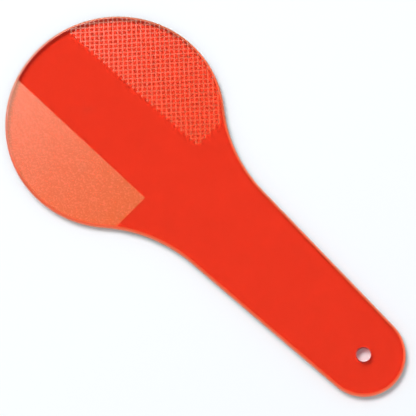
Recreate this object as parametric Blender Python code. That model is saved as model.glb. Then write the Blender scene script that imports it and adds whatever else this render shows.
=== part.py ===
"""Texture paddle in clear red-orange plastic: round head, tapered handle and hanging hole, one moulding.

Metres, +Z up. The paddle lies on its flat back with its handle along +X, and the origin is under the middle
of its outline. The head's front face carries a field of crossed ribs, and the rest of it is plain.
"""

import math

import bmesh
import bpy
from mathutils import Matrix, Vector

# Outline
HEAD_RADIUS = 0.045
HOLE_DISTANCE = 0.1395  # head centre to hole centre, which is also the centre of the handle's round end
END_RADIUS = 0.0165
SIDE_TAPER = math.radians(3.1)  # each side of the handle to its centre line
NECK_RADIUS = 0.062  # the hollow curve between head and handle
HOLE_RADIUS = 0.0029
ARC_STEP = math.radians(4)
HOLE_FACETS = 36

# Section
THICKNESS = 0.003
EDGE_RADIUS = 0.001
EDGE_FACETS = 3

# Ribbed field, which makes diamonds: it fills the head beyond the plain band, on the +Y side
BAND_HALF_WIDTH = 0.01485
FIELD_TURN = math.radians(1.6)  # the insert that moulds the field sits a little askew
FIELD_END = 0.0324  # from the head's centre towards the handle
FIELD_MARGIN = 0.0012  # the ribs end where the rim's rounding begins
RIB_PITCH = 0.001925
RIB_OFFSETS = (0.0, -0.155)  # where each set of ribs starts, in pitches from the head's centre
RIB_OVERRUNS = (0.0, 0.00033)  # how far each set of ribs runs on past the field's borders
RIB_HEIGHT = 0.0001
RIB_WIDTH = 0.0006
RIB_ROOT = 0.0002  # how deep a rib's widest line lies in the plate, for a sound join

HEAD_X = (END_RADIUS + HOLE_DISTANCE + HEAD_RADIUS) / -2 + HEAD_RADIUS
RED_ORANGE = (0.86, 0.045, 0.018, 1.0)


def arc(centre, radius, start, end, step):
    """Points along an arc from angle start to angle end, both included."""
    count = math.ceil(abs(end - start) / step)
    angles = [start + (end - start) * i / count for i in range(count + 1)]
    return [centre + radius * Vector((math.cos(a), math.sin(a))) for a in angles]


def half_outline():
    """The +Y half of the outline round the head's centre, from the far pole of the head to the handle's tip."""
    across = Vector((math.sin(SIDE_TAPER), math.cos(SIDE_TAPER)))
    along = Vector((math.cos(SIDE_TAPER), -math.sin(SIDE_TAPER)))
    hole = Vector((HOLE_DISTANCE, 0))
    neck_across = hole.dot(across) + END_RADIUS + NECK_RADIUS
    neck_along = math.sqrt((HEAD_RADIUS + NECK_RADIUS) ** 2 - neck_across**2)
    neck = neck_across * across + neck_along * along
    to_neck = math.atan2(neck.y, neck.x)
    side = math.atan2(across.y, across.x)
    head = arc(Vector((0, 0)), HEAD_RADIUS, math.pi, to_neck, ARC_STEP)
    hollow = arc(neck, NECK_RADIUS, to_neck - math.pi, side - math.pi, ARC_STEP)
    end = arc(hole, END_RADIUS, side, 0, ARC_STEP)
    return head + hollow[1:] + end


def plate():
    """The plain plate with its rounded edge, as a mesh object."""
    curve = bpy.data.curves.new("plate", "CURVE")
    curve.dimensions = "2D"
    curve.fill_mode = "BOTH"
    curve.extrude = THICKNESS / 2 - EDGE_RADIUS
    curve.bevel_depth = EDGE_RADIUS
    curve.bevel_resolution = EDGE_FACETS - 1
    curve.offset = -EDGE_RADIUS
    upper = half_outline()
    lower = [Vector((p.x, -p.y)) for p in reversed(upper[1:-1])]
    outline = upper + lower
    spline = curve.splines.new("POLY")
    spline.points.add(len(outline) - 1)
    for point, place in zip(spline.points, outline):
        point.co = (place.x + HEAD_X, place.y, 0, 1)
    spline.use_cyclic_u = True
    flat = bpy.data.objects.new("plate", curve)
    flat.location.z = THICKNESS / 2
    bpy.context.scene.collection.objects.link(flat)
    graph = bpy.context.evaluated_depsgraph_get()
    mesh = bpy.data.meshes.new_from_object(flat.evaluated_get(graph))
    mesh.transform(flat.matrix_world)
    bpy.data.objects.remove(flat)
    shape = bmesh.new()
    shape.from_mesh(mesh)
    bmesh.ops.remove_doubles(shape, verts=shape.verts, dist=1e-6)
    bmesh.ops.recalc_face_normals(shape, faces=shape.faces)
    shape.to_mesh(mesh)
    shape.free()
    return bpy.data.objects.new("paddle", mesh)


def hanging_hole():
    """The pin that leaves the hanging hole, longer than the plate is thick."""
    pin = bmesh.new()
    centre = Matrix.Translation((HEAD_X + HOLE_DISTANCE, 0, THICKNESS / 2))
    bmesh.ops.create_cone(
        pin,
        cap_ends=True,
        segments=HOLE_FACETS,
        radius1=HOLE_RADIUS,
        radius2=HOLE_RADIUS,
        depth=2 * THICKNESS,
        matrix=centre,
    )
    mesh = bpy.data.meshes.new("hanging hole")
    pin.to_mesh(mesh)
    pin.free()
    return bpy.data.objects.new("hanging hole", mesh)


def stretch_in_field(start, along):
    """Where the line start + s * along enters and leaves the ribbed field, or None."""
    limit = HEAD_RADIUS - FIELD_MARGIN
    middle = -start.dot(along)
    inside = limit**2 - start.length_squared + middle**2
    if inside <= 0:
        return None
    low = middle - math.sqrt(inside)
    high = middle + math.sqrt(inside)
    band = Vector((-math.sin(FIELD_TURN), math.cos(FIELD_TURN)))
    for outward, reach in ((-band, -BAND_HALF_WIDTH), (Vector((1, 0)), FIELD_END)):
        speed = outward.dot(along)
        edge = (reach - outward.dot(start)) / speed
        if speed > 0:
            high = min(high, edge)
        else:
            low = max(low, edge)
    return (low, high) if high - low > RIB_PITCH / 2 else None


def rib_set(name, direction, offset, overrun):
    """Parallel ribs across the field: square bars on edge, flattened to the ribs' slope and sunk in the face."""
    along = Vector((math.cos(direction), math.sin(direction)))
    across = Vector((-along.y, along.x))
    rise = RIB_HEIGHT + RIB_ROOT
    half_width = RIB_WIDTH / 2 * rise / RIB_HEIGHT
    on_edge = Matrix.Rotation(math.radians(45), 4, "X")
    bars = bmesh.new()
    count = math.ceil(HEAD_RADIUS / RIB_PITCH)
    for index in range(-count, count + 1):
        start = (index + offset) * RIB_PITCH * across
        stretch = stretch_in_field(start, along)
        if stretch is None:
            continue
        centre = start + sum(stretch) / 2 * along
        size = (stretch[1] - stretch[0] + 2 * overrun, half_width * math.sqrt(2), rise * math.sqrt(2))
        place = Matrix.Translation((centre.x + HEAD_X, centre.y, THICKNESS - RIB_ROOT))
        turn = Matrix.Rotation(direction, 4, "Z")
        bmesh.ops.create_cube(bars, size=1, matrix=place @ turn @ Matrix.Diagonal((*size, 1)) @ on_edge)
    mesh = bpy.data.meshes.new(name)
    bars.to_mesh(mesh)
    bars.free()
    return bpy.data.objects.new(name, mesh)


def apply_tool(piece, tool, operation):
    modifier = piece.modifiers.new(tool.name, "BOOLEAN")
    modifier.operation = operation
    modifier.solver = "EXACT"
    modifier.object = tool
    tool.hide_render = True
    tool.display_type = "WIRE"


def clear_plastic():
    material = bpy.data.materials.new("Clear red-orange plastic")
    material.use_nodes = True
    shader = material.node_tree.nodes["Principled BSDF"]
    shader.inputs["Base Color"].default_value = RED_ORANGE
    shader.inputs["Roughness"].default_value = 0.08
    shader.inputs["Metallic"].default_value = 0.0
    return material


def collection(name):
    made = bpy.data.collections.new(name)
    bpy.context.scene.collection.children.link(made)
    return made


def main():
    for obj in list(bpy.data.objects):
        bpy.data.objects.remove(obj)
    parts = collection("Texture paddle")
    tools = collection("Joined and cut shapes")
    paddle = plate()
    paddle.data.materials.append(clear_plastic())
    parts.objects.link(paddle)
    hole = hanging_hole()
    tools.objects.link(hole)
    apply_tool(paddle, hole, "DIFFERENCE")
    sets = zip(("rising ribs", "falling ribs"), (45, 135), RIB_OFFSETS, RIB_OVERRUNS)
    for name, diagonal, offset, overrun in sets:
        ribs = rib_set(name, FIELD_TURN + math.radians(diagonal), offset, overrun)
        tools.objects.link(ribs)
        apply_tool(paddle, ribs, "UNION")
    paddle.data.shade_smooth()
    paddle.data.set_sharp_from_angle(angle=math.radians(30))


main()
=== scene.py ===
"""Looks for the texture paddle: clear red-orange plastic with a polished band, a frosted and a ribbed field.

Metres, in the frame's own axes: the handle points along +X and the front face up +Z.
"""

import math

import bmesh
import bpy
from mathutils import Matrix, Vector

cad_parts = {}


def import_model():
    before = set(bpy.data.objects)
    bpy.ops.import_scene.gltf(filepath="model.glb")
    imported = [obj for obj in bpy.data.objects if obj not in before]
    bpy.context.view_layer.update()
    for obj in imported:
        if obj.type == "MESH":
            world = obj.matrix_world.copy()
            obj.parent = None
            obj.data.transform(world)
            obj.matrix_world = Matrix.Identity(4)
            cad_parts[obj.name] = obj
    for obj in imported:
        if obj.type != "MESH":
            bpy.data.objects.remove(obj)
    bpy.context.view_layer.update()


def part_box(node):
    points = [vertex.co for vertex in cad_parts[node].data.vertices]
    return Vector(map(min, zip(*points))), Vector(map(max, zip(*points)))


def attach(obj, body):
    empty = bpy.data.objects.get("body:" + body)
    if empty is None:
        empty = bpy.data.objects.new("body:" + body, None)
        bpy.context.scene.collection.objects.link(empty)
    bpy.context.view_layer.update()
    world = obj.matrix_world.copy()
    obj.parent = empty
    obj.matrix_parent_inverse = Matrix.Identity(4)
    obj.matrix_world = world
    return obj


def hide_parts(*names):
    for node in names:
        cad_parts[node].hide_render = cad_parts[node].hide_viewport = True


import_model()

# Sizes read from the frame
LOW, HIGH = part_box("paddle")
HEAD_RADIUS = (HIGH.y - LOW.y) / 2
HEAD_X = LOW.x + HEAD_RADIUS

# Outline
END_RADIUS = 0.0165
HOLE_DISTANCE = HIGH.x - END_RADIUS - HEAD_X
HOLE_RADIUS = 0.0029
SIDE_TAPER = math.radians(3.1)
NECK_RADIUS = 0.062
ARC_STEP = math.radians(1.5)
HOLE_FLARE = 0.0001
TURNED_SIDES = 72

# Ejector mark on the band, from the head's centre
MARK_PLACE = (-0.0124, -0.0047)
MARK_RADIUS = 0.0018
MARK_DEPTH = 0.00003
MARK_SLOPE = 6  # how far the mark's side runs out for each step up

# Section
THICKNESS = 0.003
EDGE_RADIUS = 0.001
EDGE_FACETS = 8

# Fields on the head, either side of the polished band
BAND_HALF_WIDTH = 0.01485
FIELD_END = 0.0324
FROSTED_TURN = math.radians(0.6)
RIBBED_TURN = math.radians(1.6)
RIB_MARGIN = 0.0012  # plain strip left along the rim
RIB_PITCH = 0.001925
RIB_OFFSETS = (0.0, -0.155)
RIB_OVERRUNS = (0.0, 0.00033)  # the two sets end on different lines, which keeps the joined solid closed
RIB_HEIGHT = 0.00003
RIB_WIDTH = 0.0006
RIB_CREST = 0.0005
RIB_ROOTS = (0.0002, 0.00025)  # how deep each set is sunk in the plate before they are joined
RIB_RUNOUT = 0.0006

# Painted light: emission strengths on frost, ribs and edge, which make them glow though they are no lamp
PAINTED_GLOW = (0.115, 0.065, 0.42)
# The edge's share of the painted glow: what a sideways face has, what facing up adds and what facing
# LAMP_SIDE takes off, so the painted glow follows this key lamp
EDGE_SIDEWAYS, EDGE_UP, EDGE_TO_LAMP = 0.3, 0.7, 0.5
LAMP_SIDE = Vector((-0.87, 0.5, 0))  # 20 degrees round from the key lamp's own direction

MM = 0.001


# ---------------------------------------------------------------- shape

def arc(centre, radius, start, end, step):
    """Points along an arc from angle start to angle end, both included."""
    count = math.ceil(abs(end - start) / step)
    angles = [start + (end - start) * i / count for i in range(count + 1)]
    return [centre + radius * Vector((math.cos(a), math.sin(a))) for a in angles]


def half_outline():
    """The +Y half of the outline round the head's centre, from the head's far pole to the handle's tip."""
    across = Vector((math.sin(SIDE_TAPER), math.cos(SIDE_TAPER)))
    along = Vector((math.cos(SIDE_TAPER), -math.sin(SIDE_TAPER)))
    hole = Vector((HOLE_DISTANCE, 0))
    neck_across = hole.dot(across) + END_RADIUS + NECK_RADIUS
    neck_along = math.sqrt((HEAD_RADIUS + NECK_RADIUS) ** 2 - neck_across**2)
    neck = neck_across * across + neck_along * along
    to_neck = math.atan2(neck.y, neck.x)
    side = math.atan2(across.y, across.x)
    head = arc(Vector((0, 0)), HEAD_RADIUS, math.pi, to_neck, ARC_STEP)
    hollow = arc(neck, NECK_RADIUS, to_neck - math.pi, side - math.pi, ARC_STEP)
    end = arc(hole, END_RADIUS, side, 0, ARC_STEP)
    return head + hollow[1:] + end


def plate_mesh():
    """The plain plate with its rounded edge, its flat faces left whole so that the joins come out closed."""
    curve = bpy.data.curves.new("plate", "CURVE")
    curve.dimensions = "2D"
    curve.fill_mode = "BOTH"
    curve.extrude = THICKNESS / 2 - EDGE_RADIUS
    curve.bevel_depth = EDGE_RADIUS
    curve.bevel_resolution = EDGE_FACETS - 1
    curve.offset = -EDGE_RADIUS
    upper = half_outline()
    lower = [Vector((p.x, -p.y)) for p in reversed(upper[1:-1])]
    outline = upper + lower
    spline = curve.splines.new("POLY")
    spline.points.add(len(outline) - 1)
    for point, place in zip(spline.points, outline):
        point.co = (place.x + HEAD_X, place.y, 0, 1)
    spline.use_cyclic_u = True
    plate = bpy.data.objects.new("plate", curve)
    plate.location.z = THICKNESS / 2
    bpy.context.scene.collection.objects.link(plate)
    graph = bpy.context.evaluated_depsgraph_get()
    mesh = bpy.data.meshes.new_from_object(plate.evaluated_get(graph))
    mesh.transform(plate.matrix_world)
    bpy.data.objects.remove(plate)
    shape = bmesh.new()
    shape.from_mesh(mesh)
    bmesh.ops.remove_doubles(shape, verts=shape.verts, dist=1e-6)
    bmesh.ops.recalc_face_normals(shape, faces=shape.faces)
    flat = [e for e in shape.edges if all(abs(f.normal.z) > 0.9999 for f in e.link_faces)]
    bmesh.ops.dissolve_limit(shape, angle_limit=math.radians(0.2), verts=[], edges=flat)
    shape.to_mesh(mesh)
    shape.free()
    return mesh


def add_tube(shape, rings):
    """Closed shape through the rings, each a list of the same number of places."""
    loops = [[shape.verts.new(place) for place in ring] for ring in rings]
    for first, second in zip(loops, loops[1:]):
        for i in range(len(first)):
            j = (i + 1) % len(first)
            shape.faces.new((first[i], first[j], second[j], second[i]))
    shape.faces.new(loops[0][::-1])
    shape.faces.new(loops[-1])


def tool_object(name, shape):
    bmesh.ops.recalc_face_normals(shape, faces=shape.faces)
    mesh = bpy.data.meshes.new(name)
    shape.to_mesh(mesh)
    shape.free()
    tool = bpy.data.objects.new(name, mesh)
    bpy.context.scene.collection.objects.link(tool)
    return tool


def turned_tool(name, place, profile):
    """A closed turned shape on an upright axis, from its radii and heights."""
    shape = bmesh.new()
    centre = Vector((HEAD_X, 0)) + Vector(place)
    rings = []
    for radius, z in profile:
        circle = arc(centre, radius, 0, math.tau, math.tau / TURNED_SIDES)[:-1]
        rings.append([(point.x, point.y, z) for point in circle])
    add_tube(shape, rings)
    return tool_object(name, shape)


def hole_pin():
    """The pin that leaves the hanging hole, flared where it meets both faces."""
    wide = HOLE_RADIUS + 2 * HOLE_FLARE
    return turned_tool("hole_pin", (HOLE_DISTANCE, 0), [
        (wide, -HOLE_FLARE), (HOLE_RADIUS, HOLE_FLARE),
        (HOLE_RADIUS, THICKNESS - HOLE_FLARE), (wide, THICKNESS + HOLE_FLARE),
    ])


def mark_pin():
    """The mould's ejector pin, which leaves a shallow round mark on the band."""
    return turned_tool("mark_pin", MARK_PLACE, [
        (MARK_RADIUS, THICKNESS - MARK_DEPTH),
        (MARK_RADIUS + MARK_SLOPE * MARK_DEPTH, THICKNESS + MARK_DEPTH),
    ])


def field_edges(side, turn):
    """A field's borders to the band and to the handle, as (outward normal, reach) from the head's centre."""
    band = side * Vector((-math.sin(turn), math.cos(turn)))
    return (-band, -BAND_HALF_WIDTH), (Vector((1, 0)), FIELD_END)


def stretch_in_field(start, along):
    """Where the line start + s * along enters and leaves the ribbed field, or None."""
    limit = HEAD_RADIUS - RIB_MARGIN
    middle = -start.dot(along)
    inside = limit**2 - start.length_squared + middle**2
    if inside <= 0:
        return None
    low = middle - math.sqrt(inside)
    high = middle + math.sqrt(inside)
    for outward, reach in field_edges(1, RIBBED_TURN):
        speed = outward.dot(along)
        edge = (reach - outward.dot(start)) / speed
        if speed > 0:
            high = min(high, edge)
        else:
            low = max(low, edge)
    return (low, high) if high - low > RIB_PITCH / 2 else None


def rib_section(sunk):
    """Half-widths and heights of a rib from the face level: a flat crest on two straight slopes."""
    run = (RIB_WIDTH - RIB_CREST) / 2 / RIB_HEIGHT
    root = RIB_WIDTH / 2 + run * sunk
    crest = RIB_CREST / 2
    return [(-root, -sunk), (root, -sunk), (crest, RIB_HEIGHT), (-crest, RIB_HEIGHT)]


def add_rib(shape, start, along, low, high, sunk):
    """One rib, sunk in the face, that runs out to nothing at both ends."""
    across = Vector((-along.y, along.x))
    runout = min(RIB_RUNOUT, (high - low) / 3)
    stations = [(low, -RIB_HEIGHT), (low + runout, 0), (high - runout, 0), (high, -RIB_HEIGHT)]
    rings = []
    for place, sink in stations:
        ring = []
        for side, rise in rib_section(sunk):
            point = start + place * along + side * across
            ring.append((point.x + HEAD_X, point.y, THICKNESS + rise + sink))
        rings.append(ring)
    add_tube(shape, rings)


def rib_set(name, direction, offset, overrun, sunk):
    along = Vector((math.cos(direction), math.sin(direction)))
    across = Vector((-along.y, along.x))
    shape = bmesh.new()
    count = math.ceil(HEAD_RADIUS / RIB_PITCH)
    for index in range(-count, count + 1):
        start = (index + offset) * RIB_PITCH * across
        stretch = stretch_in_field(start, along)
        if stretch:
            add_rib(shape, start, along, stretch[0] - overrun, stretch[1] + overrun, sunk)
    return tool_object(name, shape)


def finished_shape(mesh):
    """The plate with its hole and mark cut and both sets of ribs joined to its front face."""
    plate = bpy.data.objects.new("paddle_body", mesh)
    bpy.context.scene.collection.objects.link(plate)
    tools = [(hole_pin(), "DIFFERENCE"), (mark_pin(), "DIFFERENCE")]
    sets = zip(("rising", "falling"), (45, 135), RIB_OFFSETS, RIB_OVERRUNS, RIB_ROOTS)
    for name, diagonal, *sizes in sets:
        tools.append((rib_set(name, RIBBED_TURN + math.radians(diagonal), *sizes), "UNION"))
    for tool, operation in tools:
        modifier = plate.modifiers.new(tool.name, "BOOLEAN")
        modifier.operation = operation
        modifier.solver = "EXACT"
        modifier.object = tool
    graph = bpy.context.evaluated_depsgraph_get()
    joined = bpy.data.meshes.new_from_object(plate.evaluated_get(graph))
    for used in [tool for tool, operation in tools] + [plate]:
        bpy.data.objects.remove(used)
    return joined


# A face's finish, as its share of frosted, ribbed and edge in the "finish" attribute; black is polished. The
# edge's share is its share of painted glow
POLISHED, FROSTED, RIBBED = (0, 0, 0, 1), (1, 0, 0, 1), (0, 1, 0, 1)


def cut_front_face(shape, outward, reach):
    """Cuts the front face along a field's border, so that the finish can change there."""
    upward = [f for f in shape.faces if f.normal.z > 0.999]
    cut = {f for f in upward if abs(f.calc_center_median().z - THICKNESS) < 1e-6}
    cut.update([e for f in cut for e in f.edges], [v for f in cut for v in f.verts])
    normal = outward.to_3d()
    border = Vector((HEAD_X, 0, 0)) + reach * normal
    bmesh.ops.bisect_plane(shape, geom=list(cut), plane_co=border, plane_no=normal, dist=1e-7)


def painted_edge_glow(normal):
    """The edge's share of painted glow, most on upper faces turned away from LAMP_SIDE.

    It is painted light that stands for trapped light leaving on the side away from the key lamp. The share is
    stored in the mesh, so it holds for this lamp only, and another scene needs one even value.
    """
    return max(0, EDGE_SIDEWAYS + EDGE_UP * normal.z - EDGE_TO_LAMP * normal.dot(LAMP_SIDE))


def give_finishes(mesh):
    shape = bmesh.new()
    shape.from_mesh(mesh)
    edges = field_edges(-1, FROSTED_TURN)
    for outward, reach in edges:
        cut_front_face(shape, outward, reach)
    layer = shape.loops.layers.float_color.new("finish")
    turned = Vector((HOLE_DISTANCE, 0)), Vector(MARK_PLACE)
    for face in shape.faces:
        middle = face.calc_center_median()
        place = middle.to_2d() - Vector((HEAD_X, 0))
        flat = abs(face.normal.z) > 0.9999
        in_frost = all(outward.dot(place) < reach for outward, reach in edges)
        at_turned = any((place - spot).length < 2 * HOLE_RADIUS for spot in turned)
        finish = POLISHED
        if middle.z > THICKNESS + 1e-6:
            finish = RIBBED
        elif flat and middle.z > THICKNESS / 2 and in_frost:
            finish = FROSTED
        elif not flat and not at_turned:
            # edge faces store their share of painted glow, set by face direction and the lamp's side
            finish = (0, 0, painted_edge_glow(face.normal), 1)
        for corner in face.loops:
            corner[layer] = finish
        face.smooth = middle.z < THICKNESS and not flat
    shape.to_mesh(mesh)
    shape.free()


# ------------------------------------------------------------ materials

def linear(hex_colour):
    """A linear colour from an sRGB hex value."""
    values = [int(hex_colour[i:i + 2], 16) / 255 for i in (1, 3, 5)]
    return tuple(v / 12.92 if v <= 0.04045 else ((v + 0.055) / 1.055) ** 2.4 for v in values) + (1.0,)


def add_node(tree, kind, settings=None, links=None):
    """Adds a node with its settings, by property or socket, and its links, by socket name or number."""
    node = tree.nodes.new(kind)
    for name, value in (settings or {}).items():
        if isinstance(name, int) or name in node.inputs:
            node.inputs[name].default_value = value
        else:
            setattr(node, name, value)
    for name, source in (links or {}).items():
        tree.links.new(source, node.inputs[name])
    return node


def moulded_acrylic():
    """Acrylic with a fluorescent red-orange dye, moulded in one shot against four finishes of steel.

    The colour is in the body, so it deepens with the thickness that light passes. Emission is painted light
    standing for the dye's own light, trapped between the two faces, that comes out where the surface is
    broken:
    orange on the edge, and on frost and ribs a yellow-green that was fitted and isn't the plastic's own.
    """
    material = bpy.data.materials.new("Dyed clear acrylic, moulded")
    material.use_nodes = True
    tree = material.node_tree
    tree.nodes.clear()
    place = add_node(tree, "ShaderNodeTexCoord").outputs["Object"]
    finish = add_node(tree, "ShaderNodeAttribute", {"attribute_name": "finish"})
    share = add_node(tree, "ShaderNodeSeparateColor", links={"Color": finish.outputs["Color"]})
    # The edge's share also carries its share of painted glow
    frosted, ribbed, edge = share.outputs

    # Against polished steel: wet gloss with a little haze, on the faint long swell of a moulded plate
    haze = add_node(tree, "ShaderNodeTexNoise", {"Scale": 1 / (3 * MM), "Detail": 4.0}, {"Vector": place})
    gloss = add_node(tree, "ShaderNodeMapRange", {
        "From Min": 0.35, "From Max": 0.75, "To Min": 0.01, "To Max": 0.05,
    }, {"Value": haze.outputs["Fac"]})
    swell = add_node(tree, "ShaderNodeTexNoise", {"Scale": 1 / (16 * MM), "Detail": 1.0}, {"Vector": place})
    flow = add_node(tree, "ShaderNodeBump", {"Distance": 0.02 * MM}, {"Height": swell.outputs["Fac"]})

    # Against spark-eroded steel: an even frost that catches light as a pale veil. The craters are taken as
    # 0.1 mm across, and the grain is drawn at 0.7 mm so that it shows
    grain = add_node(tree, "ShaderNodeTexNoise", {"Scale": 1 / (0.7 * MM), "Detail": 2.0}, {"Vector": place})
    frost = add_node(tree, "ShaderNodeMapRange", {
        "From Min": 0.3, "From Max": 0.7, "To Min": 0.12, "To Max": 0.34,
    }, {"Value": grain.outputs["Fac"]})
    craters = add_node(tree, "ShaderNodeMath", {"operation": "MULTIPLY"}, {
        0: grain.outputs["Fac"], 1: frosted,
    })
    bump = add_node(tree, "ShaderNodeBump", {"Distance": 0.05 * MM}, {
        "Height": craters.outputs[0], "Normal": flow.outputs[0],
    })

    # In milled grooves: satin ribs whose tool marks catch the light
    marks = add_node(tree, "ShaderNodeTexNoise", {"Scale": 1 / (0.5 * MM), "Detail": 2.0}, {"Vector": place})
    satin = add_node(tree, "ShaderNodeMapRange", {
        "From Min": 0.3, "From Max": 0.7, "To Min": 0.18, "To Max": 0.28,
    }, {"Value": marks.outputs["Fac"]})

    # Against lapped steel: the edge all round, with faint lines along it
    along = add_node(tree, "ShaderNodeMapping", {"Scale": (1, 1, 20)}, {"Vector": place})
    lines = add_node(tree, "ShaderNodeTexNoise", {"Scale": 1 / (4 * MM), "Detail": 3.0}, {
        "Vector": along.outputs[0],
    })
    lapped = add_node(tree, "ShaderNodeMapRange", {
        "From Min": 0.3, "From Max": 0.7, "To Min": 0.08, "To Max": 0.22,
    }, {"Value": lines.outputs["Fac"]})

    rough = gloss.outputs[0]
    for mask, other in ((frosted, frost), (ribbed, satin), (edge, lapped)):
        mixed = add_node(tree, "ShaderNodeMix", links={"Factor": mask, "A": rough, "B": other.outputs[0]})
        rough = mixed.outputs[0]
    # Painted glow: emission strength from each face's finish shares, coloured orange on the edge and
    # yellow-green on frost and ribs
    painted_glow = add_node(tree, "ShaderNodeVectorMath", {"operation": "DOT_PRODUCT", 1: PAINTED_GLOW}, {
        0: finish.outputs["Vector"],
    })
    painted_glow_colour = add_node(tree, "ShaderNodeMix", {
        "data_type": "RGBA", 6: linear("#A8DC48"), 7: linear("#FF814F"),
    }, {"Factor": edge})
    veil = add_node(tree, "ShaderNodeMix", {
        "data_type": "RGBA", 6: (1, 1, 1, 1), 7: linear("#F2FFFF"),
    }, {"Factor": frosted})
    shader = add_node(tree, "ShaderNodeBsdfPrincipled", {
        "IOR": 1.49,
        "Transmission Weight": 1.0,
    }, {
        "Base Color": veil.outputs[2], "Roughness": rough, "Normal": bump.outputs[0],
        "Emission Color": painted_glow_colour.outputs[2], "Emission Strength": painted_glow.outputs["Value"],
    })
    dye = add_node(tree, "ShaderNodeVolumeAbsorption", {"Color": (0.985, 0.37, 0.17, 1), "Density": 800.0})
    add_node(tree, "ShaderNodeOutputMaterial", links={"Surface": shader.outputs[0], "Volume": dye.outputs[0]})
    return material


# ---------------------------------------------------------------- stage

def floor():
    bpy.ops.mesh.primitive_plane_add(size=6, location=(0, 0, -0.00005))
    plane = bpy.context.object
    plane.name = "floor"
    material = bpy.data.materials.new("Matt white paper")
    material.use_nodes = True
    shader = material.node_tree.nodes["Principled BSDF"]
    shader.inputs["Base Color"].default_value = linear("#F4F4F4")
    shader.inputs["Roughness"].default_value = 0.9
    shader.inputs["Specular IOR Level"].default_value = 0.1
    plane.data.materials.append(material)


def direction(azimuth, elevation):
    a, e = math.radians(azimuth), math.radians(elevation)
    return Vector((math.cos(e) * math.cos(a), math.cos(e) * math.sin(a), math.sin(e)))


def softbox(name, azimuth, elevation, distance, width, height, power):
    light = bpy.data.lights.new(name, "AREA")
    light.shape = "RECTANGLE"
    light.size = width
    light.size_y = height
    light.energy = power
    lamp = bpy.data.objects.new(name, light)
    lamp.location = distance * direction(azimuth, elevation)
    lamp.rotation_euler = (-lamp.location).to_track_quat("-Z", "Y").to_euler()
    bpy.context.scene.collection.objects.link(lamp)


def world():
    made = bpy.data.worlds.new("Studio")
    made.use_nodes = True
    tree = made.node_tree
    tree.nodes.clear()
    where = add_node(tree, "ShaderNodeTexCoord")
    split = add_node(tree, "ShaderNodeSeparateXYZ", links={"Vector": where.outputs["Generated"]})
    ramp = add_node(tree, "ShaderNodeMapRange", {
        "From Min": math.sin(math.radians(58)), "From Max": math.sin(math.radians(68)),
        "To Min": 0.72, "To Max": 0.08,
    }, {"Value": split.outputs["Z"]})
    back = add_node(tree, "ShaderNodeBackground", {"Color": linear("#EEF6FF")}, {"Strength": ramp.outputs[0]})
    add_node(tree, "ShaderNodeOutputWorld", links={"Surface": back.outputs[0]})
    bpy.context.scene.world = made


def camera():
    aim = Vector((-0.00244, 0.00044, 0))
    towards = direction(-31.33, 75.02)
    distance = 0.7721
    lens = bpy.data.cameras.new("camera")
    lens.lens = 165.75
    lens.sensor_width = 36
    lens.clip_start = 0.01
    view = bpy.data.objects.new("camera", lens)
    turn = (-towards).to_track_quat("-Z", "Y").to_matrix().to_4x4()
    roll = Matrix.Rotation(math.radians(-14.55), 4, "Z")
    view.matrix_world = Matrix.Translation(aim + distance * towards) @ turn @ roll
    bpy.context.scene.collection.objects.link(view)
    bpy.context.scene.camera = view


# ------------------------------------------------------------- assembly

mesh = finished_shape(plate_mesh())
mesh.materials.clear()
mesh.materials.append(moulded_acrylic())
give_finishes(mesh)
paddle = bpy.data.objects.new("textured_paddle", mesh)
bpy.context.scene.collection.objects.link(paddle)
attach(paddle, "root")
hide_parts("paddle")

floor()
world()
softbox("key", 170, 55.5, 2.6, 1.7, 1.0, 51.0)
camera()
bpy.context.scene.view_settings.view_transform = "Standard"
# Cycles' blur of glossy light would dull the clear plastic wherever floor light crosses it
bpy.context.scene.cycles.blur_glossy = 0
